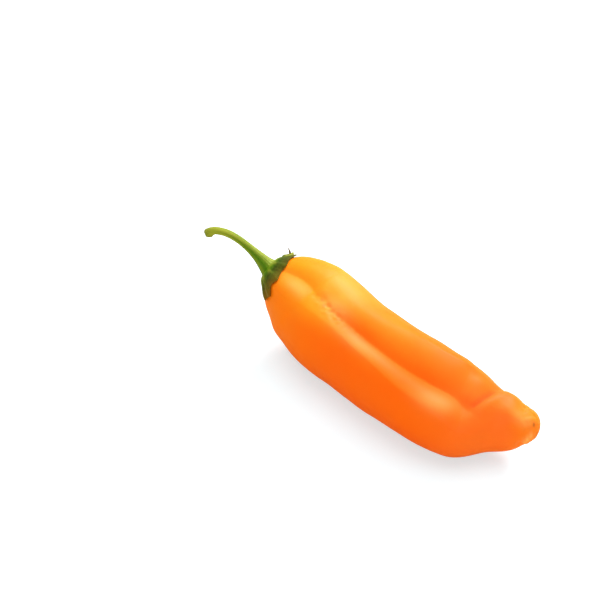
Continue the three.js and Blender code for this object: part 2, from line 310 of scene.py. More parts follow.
@dataclass
class Pod:
    """The fruit: a furrowed tube round a bent middle line, domed at the stalk and folded near the tip.

    Shares run along the middle line from the stalk to the tip. Angles run round it in degrees, from the far
    side over the top at 90. A cap is 1 on the body and falls to 0 at the poles. A pair of numbers is where an
    ease starts and ends.
    """

    name: str = "pod_skin"
    rows: int = 372
    sides: int = 256
    length: float = 166.0
    dome_share: float = 0.165
    tip_share: float = 0.085
    crowd: float = 0.9
    crowd_place: float = 0.92
    crowd_spread: float = 0.06
    least_radius: float = 6.0
    pole_hold: float = 1.3
    spine: Path = Path(np.array([
        (-63.1, 5.8, 38.0), (-46.8, 5.7, 32.9), (-33.6, 4.8, 27.8), (-17.6, 2.2, 25.2), (-1.1, 0.0, 24.3),
        (15.9, -2.2, 24.0), (32.4, -3.3, 24.0), (49.4, -3.1, 23.5), (62.8, 0.9, 20.9), (81.2, 8.3, 19.2),
        (96.4, 16.0, 22.0),
    ]))
    girth: Table = Table((
        (0, 24.4), (0.08, 22.3), (0.16, 23.6), (0.26, 25.3), (0.38, 24.9), (0.52, 25.0), (0.65, 24.6),
        (0.76, 22.7), (0.83, 20.8), (0.88, 15.7), (0.93, 12.4), (0.97, 10.8), (1, 12.1),
    ))
    furrow_angle: Table = Table((
        (0, 120), (0.05, 115), (0.1, 109), (0.2, 109), (0.3, 110), (0.4, 111), (0.5, 112.5), (0.6, 115),
        (0.7, 115), (0.73, 116), (0.76, 120), (0.79, 126), (0.82, 131), (0.86, 134), (1, 135),
    ))
    furrow_depth: Table = Table((
        (0, 0.5), (0.05, 1.7), (0.1, 2.2), (0.17, 1.9), (0.22, 1.5), (0.28, 1.8), (0.34, 2.9), (0.4, 3.8),
        (0.5, 4.8), (0.6, 5.6), (0.7, 6.3), (0.76, 5.9), (0.79, 4.6), (0.815, 2.7), (0.845, 0.8), (0.88, 0),
        (1, 0),
    ))
    furrow_deepest: float = 6.3
    near_width: Table = Table((
        (0, 6), (0.05, 10), (0.1, 12), (0.2, 9), (0.32, 7), (0.45, 7.5), (0.6, 9.5), (0.7, 12), (0.76, 13),
        (0.84, 10), (1, 6),
    ))
    near_power: float = 1.25
    far_crest: Table = Table((
        (0, 90), (0.1, 86), (0.2, 86), (0.35, 84), (0.45, 79), (0.55, 73), (0.65, 70), (0.8, 66), (1, 60),
    ))
    far_power: Table = Table(((0, 1.7), (0.4, 1.9), (0.5, 1.5), (0.6, 1.1), (1, 1.1)))
    ridge_share: Table = Table(((0, 0.5), (0.1, 0.72), (0.2, 0.6), (0.3, 0.3), (1, 0.24)))
    ridge_offset: Table = Table(((0, 6), (0.1, 9), (0.2, 9), (0.3, 8.3), (0.6, 9.5), (0.76, 14), (1, 14)))
    ridge_width: Table = Table(((0, 4), (0.1, 6), (0.2, 6), (0.3, 5.6), (0.6, 6.5), (0.76, 8), (1, 8)))
    fold_place: Table = Table((
        (-60, 0.9), (0, 0.895), (40, 0.886), (65, 0.866), (78, 0.86), (95, 0.849), (109, 0.836), (120, 0.824),
        (131, 0.813), (150, 0.8), (240, 0.8),
    ))
    fold_start: Pair = (-10, 105)
    fold_end: Pair = (118, 146)
    fold_depth: float = 1.7
    fold_stalk_bank: float = 9.0
    fold_tip_bank: float = 2.2
    fold_swell: float = 0.2
    fold_swell_offset: float = 3.0
    fold_swell_width: float = 2.6
    shallow_furrows: tuple[Triple, ...] = ((345, 1.9, 13), (238, 1.1, 11))
    shallow_fade: float = 0.7
    swellings: tuple[Swelling, ...] = spots(
        # The shoulder and the two lobes
        (0.14, 121, 11, 4.5, 0.4), (0.16, 62, 16, 16, 1.2), (0.3, 190, 20, 14, 0.6),
        (0.5, 205, 16, 16, -0.5), (0.63, 130, 9, 6, -0.3),
        # The lobes' ends before the fold
        (0.715, 138, 8, 7, 1.1), (0.73, 143, 9, 8, 1.2), (0.74, 50, 12, 10, 1.2),
        (0.78, 206, 34, 12, 0.5), (0.79, 208, 12, 13, 1.9), (0.805, 140, 5, 6, -0.4),
        (0.843, 50, 7, 10, -1.0), (0.85, 135, 9, 8, -0.6), (0.86, 66, 3.5, 5, -0.5),
        (0.865, 190, 8, 14, -1.0),
        # The tip lobe
        (0.885, 15, 9, 11, 1.3), (0.89, 150, 12, 11, -0.8), (0.914, 111, 6.5, 4.5, 1.2),
        (0.916, 72, 8.5, 6, 0.55), (0.92, 75, 8, 8, 0.6), (0.928, 152, 5, 4, -0.5),
        (0.932, 68, 4, 6, 0.8), (0.941, 158, 4.5, 4.5, -0.9), (0.942, 122, 4.5, 4.5, 0.9),
        (0.96, 137, 3.5, 4.5, 1.2), (0.984, 188, 4, 6, 1.0), (0.985, 80, 4, 5, 0.5),
    )
    pits: tuple[Swelling, ...] = spots(
        # In the furrow near the shoulder
        (0.225, 112, 2.2, 2.0, -0.25), (0.24, 100, 3.0, 2.6, 0.25), (0.257, 106, 2.2, 1.6, -0.4),
        (0.268, 115, 2.0, 2.2, 0.25), (0.275, 98, 6.0, 4.5, -0.65), (0.287, 109, 1.4, 1.8, -0.4),
        (0.3, 87, 5.0, 4.0, -0.3), (0.301, 116, 1.6, 2.4, 0.25), (0.317, 110, 1.5, 1.6, -0.35),
        # Round the tip
        (0.945, 207, 1.8, 3.4, -1.2), (0.946, 195, 1.5, 2.6, -0.55), (0.957, 185, 1.4, 2.4, -0.5),
        (0.959, 197, 1.3, 2.6, 0.7), (0.961, 76, 1.8, 4.0, -0.55), (0.965, 138, 2.6, 2.2, -0.45),
        (0.968, 108, 1.7, 4.0, -0.5), (0.968, 175, 1.3, 2.2, -0.4), (0.97, 187, 1.3, 2.4, 0.7),
        (0.972, 112, 2.2, 2.2, 0.4), (0.972, 136, 1.5, 4.0, -0.5), (0.98, 155, 2.2, 2.2, 0.3),
        (0.981, 177, 1.3, 2.2, 0.5), (0.985, 95, 1.6, 2.0, -0.3),
    )
    ripples: tuple[Ripple, ...] = (Ripple(11, 34.0, 0.24), Ripple(12, 17.0, 0.09), Ripple(13, 7.0, 0.02))
    wrinkle_place: float = 0.33
    wrinkle_spread: float = 0.085
    wrinkle_offset: float = 1.5
    wrinkle_width: float = 3.2
    wrinkle: Ripple = Ripple(21, 3.4, 0.24)
    knobs: Ripple = Ripple(41, 3.4, 0.26)
    knob_reach: Pair = (0.94, 0.975)
    tip_waves: tuple[Triple, ...] = ((0.35, 3, 0.4), (0.22, 5, 2.0), (0.12, 8, 1.1))
    tip_wave_reach: Pair = (0.93, 0.985)
    # Painted highlights on the ridges, the far lobe and the tip lobe, and a pale line of painted light from
    # the floor along the tip's underside.
    painted_light_spots: tuple[Swelling, ...] = spots(
        (0.115, 122, 9, 3.5, 0.3), (0.26, 69, 18, 9, 0.25), (0.315, 104, 10, 4.5, 0.3),
        (0.45, 124, 16, 3.5, 0.25), (0.72, 136, 7, 5, 0.25), (0.947, 116, 3.5, 3, 0.12),
        (0.956, 131, 3, 3, 0.1), (0.957, 199, 1.0, 2.4, 0.5), (0.968, 189, 1.0, 2.2, 0.6),
        (0.972, 126, 2.5, 3, 0.2), (0.979, 178, 0.9, 2.0, 0.5),
    )
    # Painted shade: two redder spots, one dimming the far lobe before the fold and one in the hollow before
    # the tip.
    painted_shade_spots: tuple[Swelling, ...] = spots(
        (0.79, 68, 8, 5, 0.5), (0.94, 153, 4, 4, 0.7),
    )
    scar_share: float = 0.987
    scar_angle: float = 134.0
    scar_radius: float = 1.1
    scar_squeeze: float = 2.2
    scar_least_radius: float = 2.0
    # The first seven are painted shade in the wrinkles of the furrow near the shoulder; the last three are
    # real marks round the tip.
    marks_and_crease_shade: tuple[Swelling, ...] = spots(
        (0.258, 109, 1.4, 0.7, 0.4), (0.279, 112, 0.8, 1.2, 0.4), (0.3, 107, 1.2, 0.7, 0.25),
        (0.312, 111, 1.3, 0.8, 0.4), (0.341, 113, 0.9, 0.8, 0.2), (0.36, 113, 1.4, 0.8, 0.3),
        (0.396, 113, 1.2, 0.8, 0.25), (0.968, 100, 0.9, 0.9, 0.12), (0.972, 118, 0.8, 1.0, 0.14),
        (0.976, 158, 0.8, 1.0, 0.14),
    )
    floor_soften: float = 0.25
    # Painted shade: how strongly the furrow is reddened.
    furrow_tint: float = 0.8
    # Painted light: where the top's yellow starts, and where it fades along the pod.
    crown_edge: Pair = (0.25, 0.98)
    crown_furrow_loss: float = 0.6
    crown_fade: Pair = (0.08, 0.6)
    crown_fade_loss: float = 0.6
    crown_end: Pair = (0.8, 0.9)
    crown_end_loss: float = 0.5
    # Painted shade: where the lower side's red starts.
    flank_edge: Pair = (-0.35, 0.7)
    shoulder_fade: Pair = (0.05, 0.45)
    shoulder_flank_loss: float = 0.6
    far_side_edge: Pair = (84, 112)
    # The tip is paler by its own colour. The tint is stronger on the lower side, where it is painted light
    # bounced up from the floor.
    tip_tint_reach: Pair = (0.66, 0.86)
    tip_flank_share: float = 0.25
    far_tip_reach: Pair = (0.82, 0.88)
    far_tip_loss: float = 0.8
    tip_end_reach: Pair = (0.9, 0.98)
    tip_end_tint: float = 0.8

    def frame_at(self, share: Array) -> tuple[Array, ...]:
        """Gives the frame that the skin is worked out in.

        Args:
            share: shares along the pod.

        Returns:
            The middle, and the unit directions along the pod, to its far side and to its upper side.
        """
        along = self.spine.direction(share)
        far = unit(np.cross([0.0, 0.0, 1.0], along))
        return self.spine.at(share), along, far, np.cross(along, far)

    def places(self, share: Array, angle: Array, cap: Array, least: float) -> Places:
        """Gives places whose radius is held up at the poles, so that rises keep their width there."""
        return Places(share, angle, np.maximum(self.girth(share) * cap, least))

    def furrow_shape(self, at: Places) -> Array:
        """Gives the long furrow's cross-section: a short near bank, and a long far bank up to the far crest.

        Args:
            at: the places.

        Returns:
            1 at the furrow's bottom, falling to 0 on both sides.
        """
        bottom = self.furrow_angle(at.share)
        beside = at.arc(bottom)
        far_width = np.radians(bottom - self.far_crest(at.share)) * at.radius
        away = np.where(beside > 0, beside / self.near_width(at.share), beside / far_width)
        return bank_shape(away, np.where(beside > 0, self.near_power, self.far_power(at.share)))

    def fold(self, at: Places) -> tuple[Array, Array, Array]:
        """Gives the fold's depth at each angle, the distance past its line, and its cross-section.

        Args:
            at: the places.

        Returns:
            The depth, the distance towards the tip, and crease_shape of the distance over the bank's width.
        """
        turn = upright(at.angle)
        depth = self.fold_depth * smooth_step(turn, *self.fold_start)
        depth = depth * (1 - smooth_step(turn, *self.fold_end))
        past = (at.share - self.fold_place(turn)) * self.length
        return depth, past, crease_shape(past / np.where(past > 0, self.fold_tip_bank, self.fold_stalk_bank))

    def raised(self, rises: tuple[Swelling, ...], at: Places) -> Array:
        """Sums height * exp(-(distance / reach)^2) over rounded rises.

        Args:
            rises: the rises and hollows.
            at: the places.

        Returns:
            The summed rise.
        """
        out = np.zeros(np.broadcast(at.share, at.angle).shape)
        for spot in rises:
            along = (at.share - spot.share) * self.length / spot.along
            out += spot.height * bell(np.hypot(along, at.arc(spot.angle) / spot.round))
        return out

    def relief(self, at: Places) -> Array:
        """Gives how far the skin stands out from the mean radius, for the main forms.

        Args:
            at: the places.

        Returns:
            The distance outwards, negative in the furrows and the fold.
        """
        depth = self.furrow_depth(at.share)
        beside = at.arc(self.furrow_angle(at.share))
        out = -depth * self.furrow_shape(at)
        ridge = bell((beside - self.ridge_offset(at.share)) / self.ridge_width(at.share))
        out += self.ridge_share(at.share) * depth * ridge

        fold_depth, past, crease = self.fold(at)
        out -= fold_depth * crease
        out += self.fold_swell * fold_depth * bell((past - self.fold_swell_offset) / self.fold_swell_width)

        fade = np.sin(np.pi * np.clip(at.share, 0, 1)) ** self.shallow_fade
        for angle, dip, width in self.shallow_furrows:
            out -= dip * fade * bell(at.arc(angle) / width)
        return out + self.raised(self.swellings, at)

    def detail(self, at: Places, smooth: Array) -> Array:
        """Gives the small forms: wrinkles in the furrow, pits, knobs round the tip and gentle ripples.

        Args:
            at: the places.
            smooth: points of the tube without relief, which the ripples read.

        Returns:
            The distance outwards.
        """
        beside = at.arc(self.furrow_angle(at.share))
        where = bell((at.share - self.wrinkle_place) / self.wrinkle_spread)
        where = where * bell((beside - self.wrinkle_offset) / self.wrinkle_width)
        out = where * self.wrinkle.at(smooth)
        out = out + smooth_step(at.share, *self.knob_reach) * self.knobs.at(smooth)
        turn = np.radians(at.angle)
        waves = sum(height * np.cos(count * turn + phase) for height, count, phase in self.tip_waves)
        out += self.raised(self.pits, at) + smooth_step(at.share, *self.tip_wave_reach) * waves
        return out + sum(ripple.at(smooth) for ripple in self.ripples)

    def skin(self, share: Array, angle: Array, cap: Array) -> Array:
        """Gives points of the skin: middle + reach * (cos(angle) * far + sin(angle) * up).

        Args:
            share: shares along the pod.
            angle: degrees round it.
            cap: the caps' roundness.

        Returns:
            Points with one more axis of 3.
        """
        middle, _, far, up = self.frame_at(share)
        radius = self.girth(share) * cap
        at = self.places(share, angle, cap, self.least_radius)
        turn = np.radians(angle)[..., None]
        outward = np.cos(turn) * far + np.sin(turn) * up
        rise = self.relief(at) + self.detail(at, middle + radius[..., None] * outward)
        reach = radius + rise * np.minimum(cap * self.pole_hold, 1)
        return middle + reach[..., None] * outward

    def row_shares(self, count: int) -> tuple[Array, Array]:
        """Walks over dome, body and tip in steps that are even but for a crowd of rows at the fold.

        Args:
            count: rows, the two poles among them.

        Returns:
            The share and the cap value of each row.
        """
        dome_walk = self.dome_share * math.pi / 2
        tip_walk = self.tip_share * math.pi / 2
        walk = dome_walk + (1 - self.dome_share - self.tip_share) + tip_walk
        fine = np.linspace(0, walk, 2001)
        even = np.cumsum(1 + self.crowd * bell((fine - self.crowd_place) / self.crowd_spread))
        gone = np.interp(np.linspace(even[0], even[-1], count), even, fine)
        dome_turn = np.clip(gone / self.dome_share, 0, math.pi / 2)
        tip_turn = np.clip((walk - gone) / self.tip_share, 0, math.pi / 2)
        body = self.dome_share + gone - dome_walk
        share = np.where(gone < dome_walk, self.dome_share * (1 - np.cos(dome_turn)), body)
        share = np.where(walk - gone < tip_walk, 1 - self.tip_share * (1 - np.cos(tip_turn)), share)
        return share, np.sin(dome_turn) * np.sin(tip_turn)

    def masks(self, share: Array, angle: Array, cap: Array) -> MaskValues:
        """Works out what the finish reads at each point.

        Args:
            share: shares along the pod.
            angle: degrees round it.
            cap: the caps' roundness.

        Returns:
            The values of each mask.
        """
        height = np.sin(np.radians(angle))
        at = self.places(share, angle, cap, self.least_radius)
        depth, _, crease = self.fold(at)
        # Painted shade: redder where the furrow is deep, along the fold's crease and at the painted shade
        # spots.
        deep = self.furrow_tint * self.furrow_depth(share) / self.furrow_deepest * self.furrow_shape(at)
        deep = np.maximum(deep, depth / self.fold_depth * crease)
        deep = np.maximum(deep, self.raised(self.painted_shade_spots, at))

        # Painted light: the top is yellower, less so in the furrow, further along the pod and at the tip.
        crown = smooth_step(height, *self.crown_edge) * (1 - self.crown_furrow_loss * deep)
        crown = crown * (1 - self.crown_fade_loss * smooth_step(share, *self.crown_fade))
        crown = crown * (1 - self.crown_end_loss * smooth_step(share, *self.crown_end))
        # Painted shade: the lower side is redder and darker.
        flank_shade = smooth_step(-height, *self.flank_edge)
        shoulder = (1 - smooth_step(share, *self.shoulder_fade)) * (1 - self.shoulder_flank_loss * flank_shade)
        ends = np.maximum(shoulder, self.tip_end_tint * smooth_step(share, *self.tip_end_reach))
        far_side = 1 - smooth_step(upright(angle), *self.far_side_edge)
        # Paler towards the tip by its own colour, and more so on the lower side as painted light from the
        # floor.
        tip = 1 - self.tip_flank_share + self.tip_flank_share * flank_shade
        tip = tip * smooth_step(share, *self.tip_tint_reach)
        tip = tip * (1 - self.far_tip_loss * far_side * (1 - smooth_step(share, *self.far_tip_reach)))

        scar_along = (share - self.scar_share) * self.length * self.scar_squeeze
        scar_round = self.places(share, angle, cap, self.scar_least_radius).arc(self.scar_angle)
        scar = bell(np.hypot(scar_along, scar_round) / self.scar_radius)
        return {
            Mask.CROWN_LIGHT: (0.6, crown, 0.6),
            Mask.FLANK_SHADE: (0.2, flank_shade, 0.2),
            Mask.ENDS: (1.0, ends, 0.8),
            Mask.TIP: (0.0, tip, 1.0),
            Mask.FURROW_SHADE: (0.0, deep, 0.0),
            Mask.SCAR_AND_CREASE_SHADE: (0.0, np.maximum(scar, self.raised(self.marks_and_crease_shade, at)), 0.0),
            Mask.HIGHLIGHT_AND_PALE: (0.0, np.clip(self.raised(self.painted_light_spots, at), 0, 1), 0.0),
        }

    def build(self) -> Piece:
        """Makes the skin and its masks, and eases the underside level where it meets the floor.

        Returns:
            The pod's object.
        """
        shares, caps = self.row_shares(self.rows)
        share, angle = np.meshgrid(shares[1:-1], np.arange(self.sides) * 360 / self.sides, indexing="ij")
        cap = np.broadcast_to(caps[1:-1, None], share.shape)
        points = self.skin(share, angle, cap)
        height = points[..., 2]
        points[..., 2] = 0.5 * (height + np.hypot(height, self.floor_soften))
        poles = self.spine.at(np.array([0.0, 1.0]))
        piece = ring_body(self.name, poles[0], points, poles[1])
        carry(piece, self.masks(share, angle, cap))
        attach(piece, "root")
        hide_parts("pod")
        return piece


@dataclass(frozen=True)
class Tooth:
    """One pointed tooth of the calyx: its angle, length, half width, how far its tip lifts, and its vein."""

    angle: float
    length: float
    width: float
    lift: float = 0.3
    vein_height: float = 0.5
    vein_growth: float = 0.12
    vein_width: float = 5.5

    def outline(self, angle: Array) -> Array:
        """Gives the share of the tooth's length at each angle: exp(-|angle off its middle / width|^1.5)."""
        return np.exp(-np.abs(wrap_angle(angle - self.angle) / self.width) ** 1.5)

    def vein(self, angle: Array) -> Array:
        """Gives the height of the tooth's middle vein, which is higher on a longer tooth."""
        return (self.vein_height + self.vein_growth * self.length) * near(angle, self.angle, self.vein_width)


@dataclass(frozen=True)
class Walk:
    """The stalk from its foot to its cut end: middles, directions, radii, and how far is gone and left."""

    middle: Array
    direction: Array
    radius: Array
    gone: Array
    left: Array


@dataclass
class Stalk:
    """The green stalk, and the calyx that hugs the pod's dome at its foot, as one skin."""

    pod: Pod
    name: str = "stalk_and_calyx"
    sides: int = 240
    rows: int = 190
    path: tuple[Pair, ...] = (
        (0, 0), (5.8, 6.4), (12.7, 12.3), (18, 15.6), (23.3, 17.3), (28.6, 17.2), (31.3, 16), (33.6, 13.9),
    )
    heading: Triple = (-0.936, -0.351, 0.0)
    radius: float = 1.95
    flare_slow: float = 1.6
    flare_slow_reach: float = 11.0
    flare_quick: float = 1.7
    flare_quick_reach: float = 3.2
    cut_swell: float = 0.55
    cut_reach: float = 3.5
    lean_reach: float = 3.0
    ribs: int = 5
    rib_share: float = 0.03
    rib_double: float = 0.35
    # Height, count, turns with the twist, and phase
    fine_grooves: tuple[tuple[float, ...], ...] = ((0.018, 17, 3, 0), (0.012, 29, 0, 1.3))
    twist_start: float = 0.6
    twist_rate: float = 0.02
    end_round: float = 0.1
    end_round_reach: Pair = (0.0, 1.2)
    end_knobs: Ripple = Ripple(31, 2.6, 0.16)
    end_knob_reach: float = 2.5
    face_rings: tuple[Pair, ...] = ((0.92, -0.1), (0.8, 0.02), (0.62, 0.22), (0.42, 0.34), (0.2, 0.3))
    face_grain: Ripple = Ripple(32, 1.4, 0.08)
    face_depth: float = 0.3
    tilt: float = 11.0
    turn: float = 138.0
    calyx_radius: float = 13.9
    throat: float = 5.8
    rim_lift: float = 0.9
    rim_thinning: float = 0.55
    rim_thinning_power: int = 6
    crown_lift: float = 2.3
    crown_reach: float = 3.8
    crown_fall: float = 0.3
    tooth_start: float = 0.8
    tooth_span: float = 0.2
    vein_share: float = 0.45
    vein_fade: float = 0.6
    vein_start: Pair = (0.5, 4)
    under_rings: int = 26
    under_span: Pair = (0.08, 0.97)
    over_rings: int = 46
    over_crowd: float = 1.3
    gap: float = 0.35
    dome_radius: float = 25.0
    groove_angle: float = -4.0
    groove_depth: float = 0.3
    groove_width: float = 3.0
    groove_reach: Pair = (8.0, 12.0)
    lip_angle: float = 155.0
    lip_height: float = 1.9
    lip_width: float = 8.0
    lip_reach: Pair = (7.5, 10.5)
    foot_reach: Pair = (0.0, 0.3)
    calyx_reach: Pair = (0.0, 0.45)
    # The stalk's lightness: everywhere, on its ribs, and towards its end
    stem_light: Triple = (0.25, 0.2, 0.75)
    stem_light_reach: Pair = (0.15, 1.0)
    vein_light_width: float = 7.0
    # Painted highlight: a pale strip down the side of the stalk that faces the back light, towards its cut
    # end.
    pale_angle: float = 102.0
    pale_width: float = 27.0
    pale_reach: Pair = (12, 30)
    lip_pale: float = 1.2
    lip_pale_width: float = 15.0
    lip_pale_reach: Pair = (0.35, 0.6)
    brown_angle: float = 5.0
    brown_width: float = 40.0
    brown_power: float = 2.2
    brown_least: float = 0.35
    brown_more: float = 0.8
    notch_angle: float = 143.0
    notch_width: float = 9.0
    notch_share: float = 0.28
    notch_reach: float = 0.12
    crack_width: float = 4.0
    crack_reach: Pair = (0.3, 0.6)
    cut_tint: float = 0.55
    cut_tint_reach: float = 2.2
    teeth: tuple[Tooth, ...] = (
        Tooth(124, 2.4, 10, 0.5), Tooth(76, 1.3, 12), Tooth(38, 3.2, 14), Tooth(5, 5.4, 11),
        Tooth(-14, 4.4, 12), Tooth(-70, 2, 13), Tooth(158, 1.4, 14, 1.2), Tooth(190, 2, 12, 0.8),
        Tooth(235, 2.2, 13),
    )

    def dome_direction(self, tilt: float, turn: float) -> Array:
        """Gives a direction out of the dome.

        Args:
            tilt: degrees off the dome's pole.
            turn: degrees round the pole, from the far side towards the upper side.

        Returns:
            The unit vector cos(tilt) * pole + sin(tilt) * (cos(turn) * far + sin(turn) * up).
        """
        _, along, far, up = self.pod.frame_at(np.array(0.0))
        tilt, turn = math.radians(tilt), math.radians(turn)
        return -math.cos(tilt) * along + math.sin(tilt) * (math.cos(turn) * far + math.sin(turn) * up)

    def on_dome(self, direction: Array, lift: Array) -> Array:
        """Gives points over the dome's skin.

        Args:
            direction: unit vectors out of the dome.
            lift: how far each point stands off the skin.

        Returns:
            The points.
        """
        _, along, far, up = self.pod.frame_at(np.array(0.0))
        cosine = np.clip(-direction @ along, -1, 1)
        angle = np.degrees(np.arctan2(direction @ up, direction @ far))
        share = self.pod.dome_share * (1 - cosine)
        skin = self.pod.skin(share, angle, np.sqrt(1 - cosine**2))
        return skin + np.asarray(lift)[..., None] * direction

    def across(self, direction: Array) -> tuple[Array, Array]:
        """Gives a frame across each direction.

        Args:
            direction: unit vectors, last axis of 3.

        Returns:
            Two unit vectors across each, the first the one nearest the normal of the stalk's plane.
        """
        side = np.cross([0.0, 0.0, 1.0], unit(np.array(self.heading)))
        first = unit(side - (direction @ side)[..., None] * direction)
        return first, np.cross(direction, first)

    def rim(self, angle: Array) -> Array:
        """Gives the calyx's radius: a round edge that grows out into pointed teeth."""
        return self.calyx_radius + sum(tooth.length * tooth.outline(angle) for tooth in self.teeth)

    def calyx(self, angle: Array) -> tuple[Array, Array]:
        """Gives the calyx's rings from the middle of its underside out to the rim and over it to the foot.

        Args:
            angle: degrees round the stalk.

        Returns:
            Points of shape (rings, sides, 3), and each ring's share of the way from throat to rim.
        """
        axis = self.dome_direction(self.tilt, self.turn)
        first, second = self.across(axis)
        rim = self.rim(angle)
        under = np.linspace(*self.under_span, self.under_rings)[:, None]
        over = 1 - (1 - np.linspace(1.0, 0.0, self.over_rings)[:, None]) ** self.over_crowd
        radius = np.vstack([under * rim, self.throat + (rim - self.throat) * over])
        outer = np.clip((radius - self.tooth_start * rim) / (self.tooth_span * rim), 0, 1) ** 2
        crown = self.crown_lift * bell((radius - self.throat) / self.crown_reach)
        crown = crown * (1 - self.crown_fall * radius / rim)
        thinning = self.rim_thinning * np.clip(radius / rim, 0, 1) ** self.rim_thinning_power
        thick = self.rim_lift * (1 - thinning) + crown
        vein = self.vein_share * sum(tooth.vein(angle) for tooth in self.teeth)
        vein = vein * (1 - self.vein_fade * outer)
        vein = vein * smooth_step(radius, *(self.throat + step for step in self.vein_start))
        groove = self.groove_depth * near(angle, self.groove_angle, self.groove_width)
        groove = groove * smooth_step(radius, *self.groove_reach)
        lip = self.lip_height * near(angle, self.lip_angle, self.lip_width)
        lip = lip * smooth_step(radius, *self.lip_reach)
        is_top = np.arange(len(radius))[:, None] >= self.under_rings
        curl = sum(tooth.lift * tooth.outline(angle) for tooth in self.teeth)
        lift = self.gap + curl * outer + is_top * (thick + vein - groove + lip)
        bend = (radius / self.dome_radius)[..., None]
        turn = np.radians(angle)[:, None]
        direction = np.cos(bend) * axis + np.sin(bend) * (np.cos(turn) * first + np.sin(turn) * second)
        share = np.vstack([np.ones_like(under), over])
        return self.on_dome(direction, lift), np.broadcast_to(share, radius.shape)

    def walk(self) -> Walk:
        """Walks up the stalk in even steps from its foot to its cut end, first along the dome's direction.

        Returns:
            The stations.
        """
        axis = self.dome_direction(self.tilt, self.turn)
        foot = self.on_dome(axis[None], np.array([self.crown_lift + self.gap]))[0]
        heading = unit(np.array(self.heading))
        steps = np.array([along * heading + np.array([0, 0, up]) for along, up in self.path])
        path = Path(foot + steps)
        shares, length = path.even_shares(self.rows)
        gone = np.linspace(0, length, self.rows)
        lean = bell(gone / self.lean_reach)[:, None]
        direction = unit(path.direction(shares) * (1 - lean) + axis * lean)
        radius = self.radius + self.flare_slow * bell(gone / self.flare_slow_reach)
        radius += self.flare_quick * np.exp(-gone / self.flare_quick_reach)
        radius += self.cut_swell * bell((length - gone) / self.cut_reach)
        return Walk(path.at(shares), direction, radius, gone, length - gone)

    def stem(self, walk: Walk, angle: Array) -> tuple[Array, Array]:
        """Gives the stalk's rings: the radius times slowly winding ribs and fine grooves, knobbly at the end.

        Args:
            walk: the stations.
            angle: degrees round the stalk.

        Returns:
            Points of shape (rings, sides, 3), and the wave of the ribs.
        """
        turn = np.radians(angle)
        twist = self.twist_start + self.twist_rate * walk.gone[:, None]
        wave = np.cos(self.ribs * turn + twist)
        grooves = sum(
            height * np.cos(count * turn + winds * twist + phase)
            for height, count, winds, phase in self.fine_grooves
        )
        reach = 1 + self.rib_share * (wave + self.rib_double * np.cos(2 * self.ribs * turn)) + grooves
        rounding = 1 - self.end_round + self.end_round * smooth_step(walk.left, *self.end_round_reach)
        reach = walk.radius[:, None] * reach * rounding[:, None]
        first, second = self.across(walk.direction)
        outward = np.cos(turn)[:, None] * first[:, None] + np.sin(turn)[:, None] * second[:, None]
        points = walk.middle[:, None] + reach[..., None] * outward
        knob = self.end_knobs.at(points) * bell(walk.left / self.end_knob_reach)[:, None]
        return points + knob[..., None] * outward, wave

    def cut_face(self, walk: Walk, edge: Array) -> Array:
        """Gives the cut end's rings: the last ring drawn in by shares, and dished.

        Args:
            walk: the stations.
            edge: the stalk's last ring.

        Returns:
            Points of shape (rings, sides, 3).
        """
        shrink, dish = np.array(self.face_rings).T[..., None]
        face = walk.middle[-1] + shrink[..., None] * (edge - walk.middle[-1])
        return face - (dish + self.face_grain.at(face))[..., None] * walk.direction[-1]

    def masks(self, walk: Walk, angle: Array, share: Array, wave: Array) -> MaskValues:
        """Works out what the finish reads on the calyx, the stalk and the cut end.

        Args:
            walk: the stations.
            angle: degrees round the stalk.
            share: each calyx point's share of the way from throat to rim.
            wave: the wave of the stalk's ribs.

        Returns:
            The values of each mask.
        """
        left = walk.left[:, None]
        foot = smooth_step(share, *self.foot_reach)
        ending = smooth_step(walk.gone / walk.gone[-1], *self.stem_light_reach)[:, None]
        light = self.stem_light[0] + self.stem_light[1] * wave + self.stem_light[2] * ending
        vein = sum(near(angle, tooth.angle, self.vein_light_width) for tooth in self.teeth)
        # Painted highlight: the pale strip on the stalk's lit side.
        highlight_strip = near(angle, self.pale_angle, self.pale_width) * smooth_step(left, *self.pale_reach)
        lip = self.lip_pale * near(angle, self.lip_angle, self.lip_pale_width)
        lip = lip * smooth_step(share, *self.lip_pale_reach)
        brown = self.brown_least + self.brown_more * near(angle, self.brown_angle, self.brown_width)
        brown = share**self.brown_power * brown
        notch_round = wrap_angle(angle - self.notch_angle) / self.notch_width
        notch = bell(np.hypot((share - self.notch_share) / self.notch_reach, notch_round))
        crack = near(angle, self.groove_angle, self.crack_width) * smooth_step(share, *self.crack_reach)
        edge = np.minimum(np.maximum(np.maximum(brown, notch), crack), 1)
        looks = {
            Mask.CALYX: (1.0, (smooth_step(share, *self.calyx_reach), 0.0, 0.0), 0.0),
            Mask.RIB: (0.5, (foot * np.clip(vein, 0, 1) + (1 - foot) * light[0], light, 0.5), 0.5),
            Mask.EDGE: (0.0, (edge, 0.0, 0.0), 0.0),
            Mask.CUT: (0.0, (0.0, self.cut_tint * bell(left / self.cut_tint_reach), 1.0), 1.0),
            Mask.HIGHLIGHT_AND_PALE: (0.0, (lip + (1 - foot) * highlight_strip[0], highlight_strip, 0.0), 0.0),
        }
        shapes = (share.shape, wave.shape, (len(self.face_rings), self.sides))
        return {
            mask: (first, np.concatenate([np.broadcast_to(*pair) for pair in zip(parts, shapes)]), last)
            for mask, (first, parts, last) in looks.items()
        }

